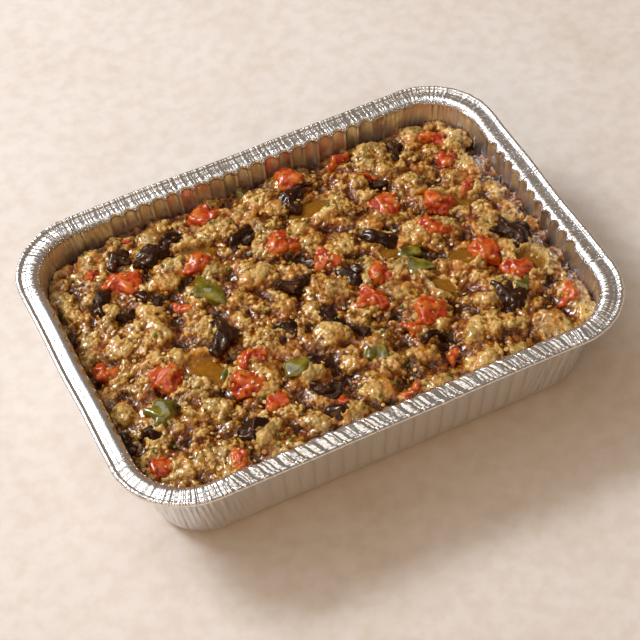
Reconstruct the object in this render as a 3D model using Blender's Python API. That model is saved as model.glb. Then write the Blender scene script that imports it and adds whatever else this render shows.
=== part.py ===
"""Chunky baba ganoush in its rectangular foil tray.

The tray is one pressed sheet: fluted walls, a flat flange and a rolled bead. The mash fills it to an
uneven top, and holds chunks of tomato, green pepper and charred aubergine skin in pockets of its own.
X is the tray's length, Y its width, +Z is up, and the origin is under the middle of its base.
"""

import math
import random

import bmesh
import bpy
from mathutils import Matrix, Vector, noise

MM = 0.001

# Tray: the rim's outer line, the rolled bead and the flange inside it
RIM_LENGTH = 220.0 * MM
RIM_WIDTH = 163.0 * MM
RIM_CORNER = 32.0 * MM
RIM_HEIGHT = 45.0 * MM
BEAD = 2.4 * MM
BEAD_DEGREES = (-120, -50, 0, 45, 90, 140)
FLANGE_DROP = 0.5 * MM
GROOVE_DROP = 0.8 * MM
GROOVE_WIDTH = 0.3 * MM
FLANGE_INSET = 7.8 * MM
SHOULDER_INSET = 9.4 * MM
SHOULDER_DROP = 1.1 * MM
FOIL = 0.4 * MM
FOIL_COLOUR = (0.75, 0.75, 0.77)
FOIL_ROUGHNESS = 0.25
SHARP_DEGREES = 50

# Tray: the fluted wall, and the base it leans in to
WALL_TOP_INSET = 10.0 * MM
WALL_TOP_CORNER = 22.5 * MM
WALL_TOP = 42.0 * MM
WALL_FOOT_INSET = 16.2 * MM
WALL_FOOT_CORNER = 21.0 * MM
WALL_FOOT = 3.2 * MM
FILLET_INSET = 17.3 * MM
FILLET_RISE = 0.9 * MM
BASE_INSET = 19.6 * MM
BASE_CORNER = 18.5 * MM
FLUTE_DEPTH = 1.0 * MM
LONG_FLUTES = 23
SHORT_FLUTES = 15
CORNER_FLUTES = 6

# Mash: how full the tray is, and the lumps on top
GAP = 0.3 * MM
MASH_LEVEL = 34.4 * MM
CROWN = 1.6 * MM
HALF_LENGTH = 98.0 * MM
HALF_WIDTH = 70.0 * MM
LOW_END = 3.6 * MM
LOW_END_REACH = 45.0 * MM
WALL_SLUMP = 2.4 * MM
SLUMP_REACH = 9.0 * MM
LUMP_SPACING = 17.0 * MM
LUMP_STRETCH = 1.2
LUMP_SLICE = 0.5
LUMP_RISE = 5.5 * MM
LUMP_MIDDLE = 0.45
MASH_STEP = 6.4 * MM
BLOCK_FOOT = -5.0 * MM
HOLLOW_CORNER_STEPS = 5
MASH_COLOUR = (0.45, 0.27, 0.11)
MASH_ROUGHNESS = 0.35

# Chunks: how thick each kind is, how far it stands out of the mash, and how far it arches
TOMATO_THICKNESS = 8.0 * MM
TOMATO_PROUD = 2.2 * MM
TOMATO_COLOUR = (0.60, 0.08, 0.03)
PEPPER_THICKNESS = 7.0 * MM
PEPPER_PROUD = 2.0 * MM
PEPPER_COLOUR = (0.17, 0.19, 0.03)
SKIN_THICKNESS = 5.0 * MM
SKIN_PROUD = 2.0 * MM
SKIN_ARCH = 1.2 * MM
SKIN_COLOUR = (0.02, 0.01, 0.01)
CHUNK_ROUGHNESS = 0.25

# Chunks: an uneven ball, fuller round its waist, and the gap left round it in its pocket
CHUNK_SEGMENTS = 8
CHUNK_RINGS = 3
CHUNK_UNEVEN = 0.10
CHUNK_FULLNESS = 1.12
WAIST = 0.9
POCKET_GAP = 0.39 * MM
TOMATO_SEED = 0
PEPPER_SEED = 50
SKIN_SEED = 80

# Each chunk's place, length and width in millimetres, and its turn in degrees
TOMATOES = (
    (-68, 43, 15, 13, 20),
    (-36, 37, 16, 13, -20),
    (-22, 61, 13, 11, 0),
    (-71, -11, 16, 14, -70),
    (-90, 5, 11, 10, 0),
    (17, 64, 10, 8, -60),
    (-1, 31, 17, 13, 5),
    (48, 33, 16, 13, 0),
    (43, 65, 11, 7, 5),
    (27, -5, 10, 9, -40),
    (18, -14, 14, 10, -10),
    (84, 57, 12, 8, -20),
    (84, 43, 13, 10, -95),
    (67, 20, 12, 11, -60),
    (59, 9, 13, 10, -60),
    (72, -13, 12, 10, -70),
    (79, -25, 13, 9, -75),
    (90, -52, 11, 9, 10),
    (-91, -49, 12, 11, -40),
    (-63, -62, 12, 9, -35),
    (-37, -20, 12, 9, -15),
    (-45, -30, 11, 10, -40),
    (-38, -43, 11, 8, 0),
    (35, -32, 14, 10, 15),
    (11, -63, 11, 6, -15),
)
PEPPERS = (
    (-38, 20, 17, 12, -45),
    (44, -7, 13, 10, -35),
    (-80, -27, 13, 12, -100),
    (-24, -33, 10, 9, -20),
    (7, -40, 12, 9, -70),
)
SKINS = (
    (-65, 57, 14, 6, 25),
    (-54, 51, 11, 8, 4),
    (-42, 55, 11, 6, 18),
    (-81, 38, 11, 7, -110),
    (-61, 29, 11, 7, -60),
    (-75, 22, 17, 6, 54),
    (-43, -4, 15, 13, -110),
    (15, 53, 19, 6, 31),
    (-15, 43, 14, 8, 15),
    (36, 14, 13, 9, -12),
    (-6, 6, 15, 8, -20),
    (16, 2, 13, 7, -58),
    (85, -9, 17, 8, -71),
    (70, -40, 18, 9, -98),
    (-88, -34, 10, 6, -33),
    (-52, -52, 13, 7, 12),
    (-18, -46, 13, 8, -15),
    (-18, -58, 11, 6, -83),
    (-20, -12, 11, 6, -62),
    (0, -15, 14, 7, -55),
    (7, -27, 11, 6, -70),
)


def add_object(name, mesh, colour, metallic, roughness):
    """Put a finished mesh in the scene under its node's name, with a material of its own."""
    material = bpy.data.materials.new(name)
    material.use_nodes = True
    surface = material.node_tree.nodes["Principled BSDF"]
    surface.inputs["Base Color"].default_value = (*colour, 1.0)
    surface.inputs["Metallic"].default_value = metallic
    surface.inputs["Roughness"].default_value = roughness
    mesh.materials.append(material)
    piece = bpy.data.objects.new(name, mesh)
    bpy.context.scene.collection.objects.link(piece)
    return piece


def hide_cutter(cutter):
    """Mark an object as a cutter, which is no part of the model."""
    cutter.hide_render = True
    cutter.display_type = "WIRE"


def cut(piece, cutter, operation):
    """Add a Boolean modifier that joins, cuts or trims a piece with a cutter."""
    modifier = piece.modifiers.new(cutter.name, "BOOLEAN")
    modifier.operation = operation
    modifier.solver = "EXACT"
    modifier.object = cutter


# ---- Tray -----------------------------------------------------------------------------------------


def outline(inset, corner, corner_steps, long_steps, short_steps):
    """Points and outward directions around a rounded rectangle, set in from the rim's outer line.

    Each side and each corner has a fixed number of steps, so that rows one above another line up."""
    half_length = RIM_LENGTH / 2 - inset
    half_width = RIM_WIDTH / 2 - inset
    places = []
    for quarter, (side_x, side_y) in enumerate(((1, 1), (-1, 1), (-1, -1), (1, -1))):
        middle = Vector((side_x * (half_length - corner), side_y * (half_width - corner)))
        for step in range(corner_steps):
            angle = math.radians(90 * (quarter + step / corner_steps))
            away = Vector((math.cos(angle), math.sin(angle)))
            places.append((middle + away * corner, away))
        angle = math.radians(90 * (quarter + 1))
        away = Vector((math.cos(angle), math.sin(angle)))
        along = Vector((-away.y, away.x))
        half_side, steps = (half_length, long_steps) if quarter % 2 == 0 else (half_width, short_steps)
        run = 2 * (half_side - corner)
        for step in range(steps):
            places.append((middle + away * corner + along * run * step / steps, away))
    return places


def add_row(work, inset, corner, height, fluted):
    """One closed row of the tray's points; a fluted row has two to a flute, every second one pushed in."""
    per_flute = 2 if fluted else 1
    steps = [flutes * per_flute for flutes in (CORNER_FLUTES, LONG_FLUTES, SHORT_FLUTES)]
    places = outline(inset, corner, *steps)
    row = []
    for index, (place, away) in enumerate(places):
        push = FLUTE_DEPTH if fluted and index % 2 else 0.0
        place = place - away * push
        row.append(work.verts.new((place.x, place.y, height)))
    return row


def bridge(work, lower, upper):
    """Faces between two rows; where one row has twice the points, each step is a fan of three."""
    count = min(len(lower), len(upper))
    for step in range(count):
        after = (step + 1) % count
        if len(lower) == len(upper):
            work.faces.new((lower[step], lower[after], upper[after], upper[step]))
        elif len(upper) > len(lower):
            first, middle, last = (upper[(2 * step + k) % len(upper)] for k in range(3))
            work.faces.new((lower[step], middle, first))
            work.faces.new((lower[step], lower[after], middle))
            work.faces.new((lower[after], last, middle))
        else:
            first, middle, last = (lower[(2 * step + k) % len(lower)] for k in range(3))
            work.faces.new((first, middle, upper[step]))
            work.faces.new((middle, upper[after], upper[step]))
            work.faces.new((middle, last, upper[after]))


def rolled_bead(work):
    """Rows round the rolled edge, from below the flange, out and over the top to the groove."""
    rows = []
    radius = BEAD / 2
    for degrees in BEAD_DEGREES:
        angle = math.radians(degrees)
        inset = radius - radius * math.cos(angle)
        height = RIM_HEIGHT - radius + radius * math.sin(angle)
        rows.append(add_row(work, inset, RIM_CORNER - inset, height, False))
    return rows


def build_tray():
    """The pressed foil tray: underside, outer wall, bead, flange, inner wall and base in one skin."""
    flange_top = RIM_HEIGHT - FLANGE_DROP
    flange_under = flange_top - FOIL
    groove_inset = BEAD + GROOVE_WIDTH
    shoulder_top = RIM_HEIGHT - SHOULDER_DROP
    work = bmesh.new()
    rows = [
        add_row(work, BASE_INSET, BASE_CORNER, 0.0, False),
        add_row(work, FILLET_INSET, WALL_FOOT_CORNER, FILLET_RISE, False),
        add_row(work, WALL_FOOT_INSET, WALL_FOOT_CORNER, WALL_FOOT, True),
        add_row(work, WALL_TOP_INSET, WALL_TOP_CORNER, WALL_TOP, True),
        add_row(work, FLANGE_INSET, RIM_CORNER - FLANGE_INSET, flange_under, False),
        add_row(work, groove_inset, RIM_CORNER - groove_inset, flange_under, False),
    ]
    rows += rolled_bead(work)
    rows += [
        add_row(work, groove_inset, RIM_CORNER - groove_inset, RIM_HEIGHT - GROOVE_DROP, False),
        add_row(work, FLANGE_INSET, RIM_CORNER - FLANGE_INSET, flange_top, False),
        add_row(work, SHOULDER_INSET, RIM_CORNER - FLANGE_INSET, shoulder_top, False),
        add_row(work, WALL_TOP_INSET + FOIL, WALL_TOP_CORNER - FOIL, WALL_TOP, True),
        add_row(work, WALL_FOOT_INSET + FOIL, WALL_FOOT_CORNER - FOIL, WALL_FOOT + FOIL, True),
        add_row(work, BASE_INSET + FOIL, BASE_CORNER, FOIL, False),
    ]
    for lower, upper in zip(rows, rows[1:]):
        bridge(work, lower, upper)
    work.faces.new(rows[-1])
    work.faces.new(list(reversed(rows[0])))
    bmesh.ops.recalc_face_normals(work, faces=work.faces)
    mesh = bpy.data.meshes.new("tray")
    work.to_mesh(mesh)
    work.free()
    mesh.shade_smooth()
    mesh.set_sharp_from_angle(angle=math.radians(SHARP_DEGREES))
    return add_object("tray", mesh, FOIL_COLOUR, 1.0, FOIL_ROUGHNESS)


# ---- Mash -----------------------------------------------------------------------------------------


def mash_side(height):
    """Inset and corner of the mash's side at a height: a small gap in from the inner wall's flutes."""
    share = (WALL_TOP - height) / (WALL_TOP - WALL_FOOT)
    inside = FOIL + FLUTE_DEPTH + GAP
    inset = WALL_TOP_INSET + (WALL_FOOT_INSET - WALL_TOP_INSET) * share + inside
    corner = WALL_TOP_CORNER + (WALL_FOOT_CORNER - WALL_TOP_CORNER) * share - inside
    return inset, corner


def mash_top(x, y):
    """Height of the mash: slightly crowned, lower at its -X end and along the wall, and lumpy."""
    crown = CROWN * (1 - (x / HALF_LENGTH) ** 2) * (1 - (y / HALF_WIDTH) ** 2)
    into_end = max(0.0, (LOW_END_REACH - HALF_LENGTH - x) / LOW_END_REACH)
    to_wall = min(HALF_LENGTH - abs(x), HALF_WIDTH - abs(y))
    slump = WALL_SLUMP * max(0.0, 1 - max(to_wall, 0.0) / SLUMP_REACH) ** 2
    spot = Vector((x / LUMP_SPACING, y / LUMP_SPACING * LUMP_STRETCH, LUMP_SLICE))
    nearest = noise.voronoi(spot)[0][0]
    lump = LUMP_RISE * (LUMP_MIDDLE - nearest ** 2)
    return MASH_LEVEL + crown + lump - LOW_END * into_end ** 2 - slump


def mash_block():
    """A closed block, wider than the tray, whose top is the mash's lumpy surface."""
    columns = 2 * math.ceil(RIM_LENGTH / 2 / MASH_STEP)
    lines = 2 * math.ceil(RIM_WIDTH / 2 / MASH_STEP)
    work = bmesh.new()
    grid = []
    for line in range(lines + 1):
        y = (line - lines / 2) * MASH_STEP
        row = []
        for column in range(columns + 1):
            x = (column - columns / 2) * MASH_STEP
            row.append(work.verts.new((x, y, mash_top(x, y))))
        grid.append(row)
    for near, far in zip(grid, grid[1:]):
        for column in range(columns):
            work.faces.new((near[column], near[column + 1], far[column + 1], far[column]))
    bmesh.ops.triangulate(work, faces=work.faces)
    rim = grid[0] + [row[-1] for row in grid[1:]]
    rim += list(reversed(grid[-1][:-1])) + [row[0] for row in reversed(grid[1:-1])]
    foot = [work.verts.new((vertex.co.x, vertex.co.y, BLOCK_FOOT)) for vertex in rim]
    for step in range(len(rim)):
        after = (step + 1) % len(rim)
        work.faces.new((foot[step], foot[after], rim[after], rim[step]))
    work.faces.new(list(reversed(foot)))
    bmesh.ops.recalc_face_normals(work, faces=work.faces)
    mesh = bpy.data.meshes.new("mash")
    work.to_mesh(mesh)
    work.free()
    return add_object("mash", mesh, MASH_COLOUR, 0.0, MASH_ROUGHNESS)


def tray_hollow():
    """The space inside the tray that the mash is trimmed to, a small gap clear of the foil."""
    work = bmesh.new()
    rows = []
    for height in (FOIL + GAP, WALL_FOOT + FOIL, WALL_TOP):
        below_foot = max(0.0, WALL_FOOT + FOIL - height)
        inset, corner = mash_side(max(height, WALL_FOOT))
        places = outline(inset + below_foot, corner - below_foot, HOLLOW_CORNER_STEPS, 1, 1)
        rows.append([work.verts.new((place.x, place.y, height)) for place, _ in places])
    for lower, upper in zip(rows, rows[1:]):
        bridge(work, lower, upper)
    work.faces.new(rows[-1])
    work.faces.new(list(reversed(rows[0])))
    bmesh.ops.recalc_face_normals(work, faces=work.faces)
    mesh = bpy.data.meshes.new("tray_hollow")
    work.to_mesh(mesh)
    work.free()
    hollow = bpy.data.objects.new("tray_hollow", mesh)
    bpy.context.scene.collection.objects.link(hollow)
    hide_cutter(hollow)
    return hollow


# ---- Chunks in the mash ---------------------------------------------------------------------------


def chunk_mesh(name, length, width, thickness, arch, seed, grow):
    """An uneven rounded lump about its own middle; arch lifts its middle above its two ends."""
    dice = random.Random(seed)
    work = bmesh.new()
    bmesh.ops.create_uvsphere(work, u_segments=CHUNK_SEGMENTS, v_segments=CHUNK_RINGS, radius=1.0)
    bmesh.ops.triangulate(work, faces=work.faces)
    half = Vector((length / 2, width / 2, thickness / 2))
    for vertex in work.verts:
        uneven = 1 + dice.uniform(-CHUNK_UNEVEN, CHUNK_UNEVEN)
        fullness = CHUNK_FULLNESS if abs(vertex.co.z) < WAIST else 1.0
        spot = vertex.co * uneven * fullness
        away = Vector((vertex.co.x / half.x, vertex.co.y / half.y, vertex.co.z / half.z)).normalized()
        place = Vector((spot.x * half.x, spot.y * half.y, spot.z * half.z)) + away * grow
        place.z -= arch * spot.x ** 2
        vertex.co = place
    mesh = bpy.data.meshes.new(name)
    work.to_mesh(mesh)
    work.free()
    mesh.shade_smooth()
    return mesh


def add_chunk(name, layout, thickness, proud, arch, colour, mash, seed):
    """A chunk in its place, and the pocket it leaves in the mash."""
    x, y, length, width = (value * MM for value in layout[:4])
    height = mash_top(x, y) + proud - thickness / 2
    place = Matrix.Translation((x, y, height)) @ Matrix.Rotation(math.radians(layout[4]), 4, "Z")
    mesh = chunk_mesh(name, length, width, thickness, arch, seed, 0.0)
    mesh.transform(place)
    add_object(name, mesh, colour, 0.0, CHUNK_ROUGHNESS)
    pocket_mesh = chunk_mesh(name + "_pocket", length, width, thickness, arch, seed, POCKET_GAP)
    pocket_mesh.transform(place)
    pocket = bpy.data.objects.new(name + "_pocket", pocket_mesh)
    bpy.context.scene.collection.objects.link(pocket)
    hide_cutter(pocket)
    cut(mash, pocket, "DIFFERENCE")


def add_chunks(mash):
    """Every chunk of tomato, green pepper and charred skin."""
    kinds = (
        ("tomato", TOMATOES, TOMATO_THICKNESS, TOMATO_PROUD, 0.0, TOMATO_COLOUR, TOMATO_SEED),
        ("pepper", PEPPERS, PEPPER_THICKNESS, PEPPER_PROUD, 0.0, PEPPER_COLOUR, PEPPER_SEED),
        ("skin", SKINS, SKIN_THICKNESS, SKIN_PROUD, SKIN_ARCH, SKIN_COLOUR, SKIN_SEED),
    )
    for kind, layouts, thickness, proud, arch, colour, seed in kinds:
        for number, layout in enumerate(layouts, 1):
            name = f"{kind}_{number:02d}"
            add_chunk(name, layout, thickness, proud, arch, colour, mash, seed + number)


for leftover in list(bpy.data.objects):
    bpy.data.objects.remove(leftover, do_unlink=True)

build_tray()
mash_piece = mash_block()
cut(mash_piece, tray_hollow(), "INTERSECT")
add_chunks(mash_piece)
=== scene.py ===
"""Chunky baba ganoush in its rectangular foil tray, on a pale stone counter."""

import math

import bmesh
import bpy
import numpy as np
from mathutils import Matrix, Vector, noise
from mathutils.bvhtree import BVHTree


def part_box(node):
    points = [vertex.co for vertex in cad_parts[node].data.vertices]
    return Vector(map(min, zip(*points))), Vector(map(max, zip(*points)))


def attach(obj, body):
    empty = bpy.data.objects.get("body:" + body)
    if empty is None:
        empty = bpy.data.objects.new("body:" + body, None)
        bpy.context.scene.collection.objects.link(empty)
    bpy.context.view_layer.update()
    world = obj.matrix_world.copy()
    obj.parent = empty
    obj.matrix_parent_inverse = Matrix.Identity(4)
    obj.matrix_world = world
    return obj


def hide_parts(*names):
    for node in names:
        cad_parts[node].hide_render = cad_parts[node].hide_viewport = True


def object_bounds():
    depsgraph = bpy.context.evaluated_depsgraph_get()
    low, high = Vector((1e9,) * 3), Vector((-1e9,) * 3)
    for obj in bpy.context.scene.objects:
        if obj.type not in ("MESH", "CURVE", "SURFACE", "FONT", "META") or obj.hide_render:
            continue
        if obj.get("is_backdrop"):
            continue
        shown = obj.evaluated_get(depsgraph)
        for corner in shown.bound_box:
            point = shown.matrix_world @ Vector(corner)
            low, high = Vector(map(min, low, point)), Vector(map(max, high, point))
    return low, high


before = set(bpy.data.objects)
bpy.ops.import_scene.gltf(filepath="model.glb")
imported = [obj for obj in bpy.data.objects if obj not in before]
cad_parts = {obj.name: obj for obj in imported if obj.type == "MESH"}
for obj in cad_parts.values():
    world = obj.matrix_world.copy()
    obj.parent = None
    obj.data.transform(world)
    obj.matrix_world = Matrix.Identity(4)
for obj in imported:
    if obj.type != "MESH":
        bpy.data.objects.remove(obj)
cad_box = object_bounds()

MM = 0.001
scene = bpy.context.scene


# ---- Camera ---------------------------------------------------------------------------------------
# A short telephoto looks down on the tray from the front and a little from the left, with its
# horizon tipped by a few degrees.

CAMERA_PLACE = (-0.2048, -0.5135, 0.6657)
CAMERA_TURN, CAMERA_HEIGHT, CAMERA_TIP = -21.8, 49.5, -5.2
CAMERA_LENS = 115.26
SENSOR = 36.0

camera = bpy.data.objects.new("camera", bpy.data.cameras.new("camera"))
camera.data.lens = CAMERA_LENS
camera.data.sensor_width = SENSOR
camera.matrix_world = (
    Matrix.Translation(CAMERA_PLACE)
    @ Matrix.Rotation(math.radians(CAMERA_TURN), 4, "Z")
    @ Matrix.Rotation(math.radians(90 - CAMERA_HEIGHT), 4, "X")
    @ Matrix.Rotation(math.radians(CAMERA_TIP), 4, "Z")
)
scene.collection.objects.link(camera)
scene.camera = camera


# ---- Light ----------------------------------------------------------------------------------------
# One large softbox stands behind the tray on the left. The flat rim mirrors its right-hand edge, so
# small tilts in the foil swing between white and grey. The room around it is dim and even.

SOFTBOX_PLACE = (-0.74, 0.92, 1.14)
SOFTBOX_SIZE = (1.6, 1.0)
SOFTBOX_POWER = 11.5
CENTRE_PLACE = (-0.71, 0.883, 1.094)
CENTRE_SIZE = (0.5, 0.34)
CENTRE_POWER = 16.0
FILL_PLACE = (-0.9, -0.9, 0.9)
FILL_SIZE = (0.9, 0.9)
FILL_POWER = 5.0
CEILING_PLACE = (-0.1, 0.0, 1.7)
CEILING_SIZE = (1.3, 1.0)
CEILING_POWER = 5.0
KEY_COLOUR, FILL_COLOUR, CEILING_COLOUR = "#f2f7ff", "#ffd6a8", "#fff0df"
ROOM_LOW, ROOM_HIGH = "#b98d62", "#8a837b"
ROOM_STRENGTH = 0.75


def linear(code):
    """A hex sRGB colour as the linear red, green, blue and alpha that a shader takes."""
    parts = [int(code[at:at + 2], 16) / 255 for at in (1, 3, 5)]
    return (*(c / 12.92 if c <= 0.04045 else ((c + 0.055) / 1.055) ** 2.4 for c in parts), 1.0)


def feed(tree, node, feeds):
    """Sets a node's sockets, or links each to the socket or the node that feeds it."""
    for socket, value in feeds.items():
        if isinstance(value, bpy.types.Node):
            value = value.outputs[0]
        if isinstance(value, bpy.types.NodeSocket):
            tree.links.new(value, node.inputs[socket])
        else:
            node.inputs[socket].default_value = value


def add_node(tree, kind, feeds=None, stops=None, **settings):
    """A new node with its settings, what feeds its sockets, and the stops of its colour ramp."""
    made = tree.nodes.new(kind)
    for name, value in settings.items():
        setattr(made, name, value)
    feed(tree, made, feeds or {})
    if stops:
        while len(made.color_ramp.elements) < len(stops):
            made.color_ramp.elements.new(1.0)
        for element, (place, colour) in zip(made.color_ramp.elements, stops):
            element.position = place
            element.color = linear(colour)
    return made


def shades(tree, value, *stops):
    """The colour that a number picks from a row of stops."""
    return add_node(tree, "ShaderNodeValToRGB", {0: value}, stops)


def add_lamp(name, place, size, power, colour):
    """A rectangular softbox at a place, facing the tray."""
    lamp = bpy.data.objects.new(name, bpy.data.lights.new(name, "AREA"))
    lamp.data.shape = "RECTANGLE"
    lamp.data.size, lamp.data.size_y = size
    lamp.data.energy = power
    lamp.data.color = linear(colour)[:3]
    lamp.location = place
    lamp.rotation_euler = (-Vector(place)).to_track_quat("-Z", "Y").to_euler()
    scene.collection.objects.link(lamp)


add_lamp("softbox", SOFTBOX_PLACE, SOFTBOX_SIZE, SOFTBOX_POWER, KEY_COLOUR)
add_lamp("softbox_centre", CENTRE_PLACE, CENTRE_SIZE, CENTRE_POWER, KEY_COLOUR)
add_lamp("fill", FILL_PLACE, FILL_SIZE, FILL_POWER, FILL_COLOUR)
add_lamp("ceiling", CEILING_PLACE, CEILING_SIZE, CEILING_POWER, CEILING_COLOUR)

scene.world = bpy.data.worlds.new("room")
scene.world.use_nodes = True
room = scene.world.node_tree
direction = add_node(room, "ShaderNodeTexCoord")
height = add_node(room, "ShaderNodeSeparateXYZ", {0: direction.outputs["Generated"]})
room_colour = shades(room, height.outputs["Z"], (0.25, ROOM_LOW), (0.6, ROOM_HIGH))
feed(room, room.nodes["Background"], {"Color": room_colour, "Strength": ROOM_STRENGTH})
scene.view_settings.view_transform = "Standard"


# ---- Counter --------------------------------------------------------------------------------------
# The tray stands on honed pale limestone: a warm cream with faint cloudy mottling and a few
# slightly darker veins, almost without gloss.

COUNTER_SIZE = 6.0
COUNTER_PALE, COUNTER_WARM, COUNTER_VEIN = "#e4dcd4", "#e1d8cf", "#dbd0c4"
COUNTER_SPECK = "#f7f4f0"
COUNTER_CLOUD = 70 * MM
COUNTER_GRAIN = 7 * MM
COUNTER_ROUGHNESS = 0.6

counter_mesh = bpy.data.meshes.new("counter")
half = COUNTER_SIZE / 2
counter_mesh.from_pydata(
    [(-half, -half, 0), (half, -half, 0), (half, half, 0), (-half, half, 0)], [], [(0, 1, 2, 3)]
)
counter = bpy.data.objects.new("counter", counter_mesh)
scene.collection.objects.link(counter)
counter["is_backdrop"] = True



def new_material(name):
    """A new material with its node tree, its shader and the place on the object."""
    material = bpy.data.materials.new(name)
    material.use_nodes = True
    tree = material.node_tree
    place = add_node(tree, "ShaderNodeTexCoord").outputs["Object"]
    return material, tree, tree.nodes["Principled BSDF"], place


def cloud(tree, place, size, detail, roughness=0.5):
    """Soft random mottling of about the given size, between 0 and 1."""
    return add_node(tree, "ShaderNodeTexNoise",
                    {"Vector": place, "Scale": 1 / size, "Detail": detail, "Roughness": roughness})


def multiplied(tree, share, colour, other):
    """A colour multiplied by another, to some share."""
    return add_node(tree, "ShaderNodeMixRGB", {0: share, 1: colour, 2: other}, blend_type="MULTIPLY")


limestone, tree, surface, place = new_material("honed_limestone")
mottling = shades(tree, cloud(tree, place, COUNTER_CLOUD, 6.0, 0.6),
                  (0.32, COUNTER_VEIN), (0.45, COUNTER_WARM), (0.62, COUNTER_PALE))
speckle = shades(tree, cloud(tree, place, COUNTER_GRAIN, 4.0), (0.35, COUNTER_SPECK), (0.6, "#ffffff"))
feed(tree, surface, {"Base Color": multiplied(tree, 1.0, mottling, speckle), "Roughness": COUNTER_ROUGHNESS})
counter_mesh.materials.append(limestone)


# ---- Foil tray ------------------------------------------------------------------------------------
# One sheet of soft aluminium foil, pressed in a die. The sides are fluted in round-topped fingers,
# the spare foil gathers in fine pleats round the corners, and the flat rim ends in a rolled bead.

FOIL = 0.2 * MM
BEAD_RADIUS = 1.2 * MM
RIM_CORNER = 32.0 * MM
STRAIGHT_STEPS = (215, 135)
CORNER_STEPS = 92
SHOULDER_INSET = 9.9 * MM
SHOULDER_CORNER = 22.5 * MM
SHOULDER_DROP = 2.2 * MM
FOOT_INSET = 16.0 * MM
FOOT_CORNER = 21.0 * MM
FOOT_HEIGHT = 3.2 * MM
FINGER_PITCH = 6.5 * MM
LONG_FINGERS, SHORT_FINGERS = 19, 11
FINGER_DEPTH = 1.5 * MM
FINGER_START = 1.0 * MM
FINGER_ARCH = 3.1 * MM
FINGER_EDGE = 0.9 * MM
PLEAT_PITCH = 2.1 * MM
PLEAT_DEPTH = 1.1 * MM
PLEAT_FAN = 0.35
CREASE_SLANT = 0.45

tray_low, tray_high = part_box("tray")
half_length = (tray_high.x - tray_low.x) / 2
half_width = (tray_high.y - tray_low.y) / 2
rim_top = tray_high.z


def finish_mesh(name, points, faces):
    """A smooth-shaded object from its points, and its faces as triangles, quads or rings."""
    mesh = bpy.data.meshes.new(name)
    mesh.from_pydata([tuple(point) for point in points], [], faces)
    mesh.validate()
    mesh.shade_smooth()
    piece = bpy.data.objects.new(name, mesh)
    scene.collection.objects.link(piece)
    return piece


def settle(piece, slot, *nodes):
    """A finished piece rides on the tray's body and stands for the CAD nodes named, which it hides; slot is
    not used.
    """
    if nodes:
        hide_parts(*nodes)
    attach(piece, "root")


def smooth(share):
    """Eases a share from 0 to 1."""
    share = np.clip(share, 0, 1)
    return share * share * (3 - 2 * share)


def tray_columns(long_steps, short_steps, corner_steps):
    """Upright lines round the tray, each hung on a corner's middle or on a share of a straight side.

    run is the distance from the middle of the nearest corner, and reach is the place along a side."""
    rows = []
    half_arc = SHOULDER_CORNER * math.pi / 4
    runs = [half - SHOULDER_INSET - SHOULDER_CORNER for half in (half_length, half_width)]
    for quarter, (side_x, side_y) in enumerate(((1, 1), (-1, 1), (-1, -1), (1, -1))):
        for step in range(corner_steps):
            angle = math.pi / 2 * (quarter + step / corner_steps)
            run = half_arc * (2 * step / corner_steps - 1)
            rows.append((side_x, side_y, math.cos(angle), math.sin(angle), run, quarter, 0, 2))
        side = quarter % 2
        steps = (long_steps, short_steps)[side]
        away = ((0, 1), (-1, 0), (0, -1), (1, 0))[quarter]
        for step in range(steps):
            share = 2 * step / steps - 1
            reach = share * runs[side]
            run = half_arc + runs[side] - abs(reach)
            share_x = -away[1] * share if side == 0 else side_x
            share_y = away[0] * share if side == 1 else side_y
            corner = quarter if share < 0 else (quarter + 1) % 4
            rows.append((share_x, share_y, *away, run if share < 0 else -run, corner, reach, side))
    table = np.array(rows, float)
    return {
        "share": table[:, 0:2],
        "away": table[:, 2:4],
        "run": table[:, 4],
        "corner": table[:, 5].astype(int),
        "reach": table[:, 6],
        "side": table[:, 7].astype(int),
    }


def ring(columns, inset, corner, height, push=0.0):
    """Points round the tray at an inset from the rim's outer line; inset, height and push may vary."""
    middle = np.array((half_length, half_width)) - np.atleast_1d(inset + corner)[:, None]
    flat = columns["share"] * middle + columns["away"] * np.atleast_1d(corner + push)[:, None]
    return np.column_stack((flat, np.broadcast_to(height, len(flat))))


FINGER_RUNS = (LONG_FINGERS * FINGER_PITCH / 2, SHORT_FINGERS * FINGER_PITCH / 2)
dice = np.random.default_rng(11)
pleat_places = [np.cumsum(dice.uniform(0.55, 1.45, 80)) for _ in range(4)]
pleat_places = [(places - places[40]) * PLEAT_PITCH / 2 for places in pleat_places]
pleat_heights = [np.tile((0.0, 1.0), 40) * dice.uniform(0.35, 1.0, 80) for _ in range(4)]


def pleats(columns, fan):
    """The gathered foil's folds round each corner, between 0 and 1; fan spreads them apart."""
    folds = np.zeros(len(columns["run"]))
    for corner in range(4):
        here = columns["corner"] == corner
        folds[here] = np.interp(columns["run"][here] / fan, pleat_places[corner], pleat_heights[corner])
    return np.sqrt(folds)


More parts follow.
